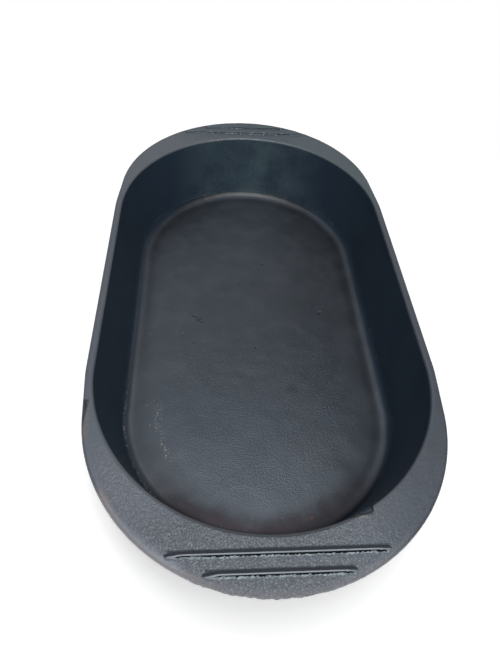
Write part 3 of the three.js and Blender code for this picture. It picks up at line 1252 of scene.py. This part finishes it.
def pits(iron):
    """1 in the pits of the floor: four scratches side by side on the left, and a few blobs."""
    ragged = iron.lumps(1.5 * MM, detail=3) * (1.6 * MM)
    deep = 0
    for x, y, reach in PITS:
        away = iron.away_from(x * MM, y * MM) + ragged
        deep = deep + away.ease((reach + 1) * MM, (reach + 0.2) * MM)
    return deep


def crumbs(iron, radius, colour):
    """Crumbs in a line on the left and in the hollow of the foot, and a few all over."""
    fine = iron.lumps(0.9 * MM, detail=1)
    line = abs(radius - 67 * MM).ease(4 * MM, 1 * MM) * iron.y.ease(-62 * MM, -75 * MM)
    line = line * iron.y.ease(-116 * MM, -104 * MM) * iron.x.ease(-50 * MM, -58 * MM)
    hollow = abs(radius - flat_radius - 4.4 * MM).ease(1.2 * MM, 0.4 * MM) * iron.x.ease(-30 * MM, -50 * MM)
    hollow = hollow * iron.y.ease(-20 * MM, -90 * MM)
    colour = iron.lay(fine.ease(0.60, 0.68) * line * 0.7, CRUMB, colour)
    colour = iron.lay(fine.ease(0.57, 0.66) * hollow * 0.8, CRUMB, colour)
    return iron.lay(fine.ease(0.76, 0.80) * 0.5, CRUMB, colour)


def specks(iron, colour):
    """A few pale specks and two specks of rust."""
    for x, y, paint in SPECKS:
        spot = iron.away_from(x * MM, y * MM).ease(0.8 * MM, 0.2 * MM)
        colour = iron.lay(spot * 0.3, paint, colour)
    return colour

# %% [markdown]
# Most light from the floor is a reflection, so a dull place can't be made by its colour alone. It is made
# part metal instead, because a metal this dark reflects less than the oil does.

# %% The cooking floor, put together
OILED_FLOOR = (0.013, 0.015, 0.018)
WORN_FLOOR = (0.020, 0.022, 0.026)
WARM_FLOOR = (0.047, 0.049, 0.051)
BROWN_HAZE = (0.026, 0.023, 0.027)
FOOT_HIGHLIGHT = (0.038, 0.038, 0.037)
PIT_BLACK = (0.004, 0.004, 0.005)


def orange_peel(iron, radius):
    """Grain in the middle of the floor. It is coarse at the front and fades towards the rear."""
    middle = radius.ease(82 * MM, 48 * MM)
    towards_front = 0.15 + 0.85 * iron.y.ease(40 * MM, -75 * MM)
    patchy = 0.6 + 0.8 * iron.lumps(20 * MM)
    grain = middle * towards_front * patchy * iron.lumps(1.0 * MM, detail=3)
    return 0.42 * grain + 0.04 * iron.lumps(1.6 * MM)


def cooking_floor():
    """Satin oil over iron, laid up from the middle of the floor to its foot."""
    material, iron = new_material("cooking_floor")
    radius = iron.oval()
    haze = brown_haze(iron, radius)
    colour = iron.lay(iron.lumps(16 * MM, detail=4).ease(0.4, 0.65), WORN_FLOOR, OILED_FLOOR)
    warm = 0.14 * iron.y.ease(50 * MM, 0) * iron.x.ease(60 * MM, 20 * MM)
    warm = warm + 0.45 * iron.y.ease(-80 * MM, -125 * MM) * iron.x.ease(65 * MM, 30 * MM)
    colour = iron.lay(warm * (0.5 + iron.lumps(5 * MM, detail=3)), WARM_FLOOR, colour)
    colour = iron.lay(haze, BROWN_HAZE, colour)
    front = iron.y.ease(-95 * MM, -130 * MM)
    upper_foot = radius.ease(flat_radius + 2 * MM, flat_radius + 5 * MM)
    colour = iron.lay(upper_foot * (0.9 - 0.5 * front), OILED_WALL, colour)
    # A pale painted highlight along the upper foot at the rear. It also dulls the reflection there.
    foot = far_foot_highlight(iron, radius)
    colour = iron.lay(foot, FOOT_HIGHLIGHT, colour)
    pitted = pits(iron)
    colour = iron.lay(pitted * 0.35, PIT_BLACK, specks(iron, crumbs(iron, radius, colour)))
    left_foot = radius.ease(flat_radius + 1 * MM, flat_radius + 4 * MM) * iron.x.ease(-30 * MM, -60 * MM)
    left_foot = left_foot * (1 - front)
    duller = dulled(iron, radius, haze) + 0.6 * foot + 0.3 * left_foot + 0.15 * pitted
    iron.set(base_color=colour, metallic=duller)
    iron.set(roughness=0.37 + 0.1 * iron.lumps(14 * MM, detail=3))
    iron.set(normal=iron.bump(orange_peel(iron, radius) - 0.22 * pitted))
    iron.set(specular_ior_level=0.98, specular_tint=GLOSS_TINT)
    return material


floor_iron = cooking_floor()
print("the cooking floor has", len(floor_iron.node_tree.nodes), "nodes")

# %% [markdown]
# ### Which face has which finish
#
# A mesh holds a list of materials, and each of its faces holds a number in that list. On the bowl a face's
# place decides: outside, on the wall or on the floor. On the ribs the marks decide which faces get the
# material of painted shade.

# %% Give each face its finish
SHADE_FROM = 0.4


def bowl_finish(middle):
    """0 for dry iron, 1 for the oiled wall, 2 for the cooking floor."""
    if not inside_bowl(middle) or middle.z > rim_z - INNER_ROUNDING:
        return 0
    return 1 if middle.z > crease_z else 2


def shade_share(mesh, face):
    """Mean over the corners of a face of what mark kept there for the far slope or the crack."""
    slopes = mesh.attributes["slope"].data
    cracks = mesh.attributes["crack"].data
    corners = [max(slopes[point].value, cracks[point].value) for point in face.vertices]
    return sum(corners) / len(corners)


for piece in stands_for:
    piece.data.materials.clear()
    piece.data.materials.append(rubbed if piece in beads.values() else dry)
bowl.data.materials.append(wall)
bowl.data.materials.append(floor_iron)
for face in bowl.data.polygons:
    face.material_index = bowl_finish(face.center)
for bead in beads.values():
    # Faces on the far slope and in the crack get the material of painted shade.
    bead.data.materials.append(rib_shade_paint)
    for face in bead.data.polygons:
        face.material_index = 1 if shade_share(bead.data, face) > SHADE_FROM else 0
print("finishes given to", len(bowl.data.polygons), "faces of the bowl")

# %% [markdown]
# ## Camera and studio
#
# The camera looks down into the pan from its front end, as one would look at a pan on a table. Its place
# and angles were found by matching the outlines of the rim, the handles and the floor.

# %% Camera at the photograph's viewing angle
IMAGE_HEIGHT = 666
FOCAL_PIXELS = 521.10
SENSOR = 36
AZIMUTH, ELEVATION, ROLL = (math.radians(angle) for angle in (-7.124, 50.545, 5.470))
TARGET = Vector((-7.18 * MM, -51.40 * MM, rim_z))
DISTANCE = 327.71 * MM

back = Vector((
    math.sin(AZIMUTH) * math.cos(ELEVATION),
    -math.cos(AZIMUTH) * math.cos(ELEVATION),
    math.sin(ELEVATION),
))
right = Matrix.Rotation(ROLL, 3, back) @ Vector((math.cos(AZIMUTH), math.sin(AZIMUTH), 0))
up = back.cross(right)
camera_data = bpy.data.cameras.new("camera")
camera_data.sensor_width = SENSOR
camera_data.lens = FOCAL_PIXELS / IMAGE_HEIGHT * SENSOR
camera_data.clip_start = 10 * MM
camera = bpy.data.objects.new("camera", camera_data)
bpy.context.scene.collection.objects.link(camera)
turned = Matrix((right, up, back)).transposed().to_4x4()
camera.matrix_world = Matrix.Translation(TARGET + DISTANCE * back) @ turned
bpy.context.scene.camera = camera
print("eye at", [round(c / MM, 1) for c in camera.location])

# %% [markdown]
# The pan stands on white paper. Near the pan the paper is lit by the lamps and keeps its shadow. Further
# away it glows white towards the camera and in reflections, and so does the world behind it.

# %% White paper
PAPER_SIZE = 8
PAPER_DROP = 0.2 * MM
PAPER_WHITE = (0.97, 0.97, 0.97)
GLOW_START, GLOW_STOP = 0.27, 0.42
NEAR_GLOW = 0.22

bpy.ops.object.select_all(action="DESELECT")
bpy.ops.mesh.primitive_plane_add(size=PAPER_SIZE, location=(0, 0, -PAPER_DROP))
paper_sheet = bpy.context.object
paper_sheet.name = "paper"


def seen_directly(nodes):
    """1 for rays from the camera, in reflections and through glass, and 0 for light on the pan."""
    rays = nodes.node("ShaderNodeLightPath").outputs
    seen = nodes.math("MAXIMUM", rays["Is Camera Ray"], rays["Is Glossy Ray"])
    return nodes.math("MAXIMUM", seen, rays["Is Transmission Ray"])


paper_material, paper = new_material("paper")
far = seen_directly(paper) * paper.away_from(0, 0).ease(GLOW_START, GLOW_STOP)
paper.set(base_color=paper.lay(far, (0, 0, 0), PAPER_WHITE), roughness=1, specular_ior_level=0)
glow = seen_directly(paper) * NEAR_GLOW + far * (1 - NEAR_GLOW)
paper.set(emission_color=(1, 1, 1), emission_strength=glow)
paper_sheet.data.materials.append(paper_material)
print("the paper turns to plain white", GLOW_START, "to", GLOW_STOP, "m from the middle")

# %% [markdown]
# Soft light comes from large lamps. Two strong disks hang overhead and in front, and three weak ones at the
# back draw the far edges. The world is white for the camera, and in reflections only near the horizon.

# %% Soft lamps, and the world
BACKDROP_HEIGHT = 0.02
LAMP_DISTANCE = 1.5
# Azimuth and elevation in degrees, size in metres and power in watts
LAMPS = {
    "overhead": (90, 90, 0.8, 8.8),
    "front": (270, 58, 1.2, 15.5),
    "left_rear": (120, 62, 1.2, 1.7),
    "rear": (90, 38, 1.2, 1.8),
    "right_low": (45, 20, 0.7, 1.5),
}


def add_lamp(name, azimuth, elevation, size, power):
    """A round lamp that looks at the pan."""
    turn, rise = math.radians(azimuth), math.radians(elevation)
    towards = Vector((math.cos(turn) * math.cos(rise), math.sin(turn) * math.cos(rise), math.sin(rise)))
    lamp_data = bpy.data.lights.new(name, "AREA")
    lamp_data.shape = "DISK"
    lamp_data.size = size
    lamp_data.energy = power
    lamp = bpy.data.objects.new(name, lamp_data)
    lamp.location = LAMP_DISTANCE * towards
    lamp.rotation_euler = (-towards).to_track_quat("-Z", "Y").to_euler()
    bpy.context.scene.collection.objects.link(lamp)


for name, setting in LAMPS.items():
    add_lamp(name, *setting)

world = bpy.data.worlds.new("studio")
world.use_nodes = True
backdrop = Recipe(world.node_tree, "Background", coordinates="Generated")
camera_ray = backdrop.node("ShaderNodeLightPath").outputs["Is Camera Ray"]
low_on_it = backdrop.z.ease(BACKDROP_HEIGHT, 0)
white = backdrop.math("MAXIMUM", camera_ray, seen_directly(backdrop) * low_on_it)
backdrop.set(color=(1, 1, 1), strength=white)
bpy.context.scene.world = world
bpy.context.scene.view_settings.view_transform = "Standard"
print(len(LAMPS), "lamps")
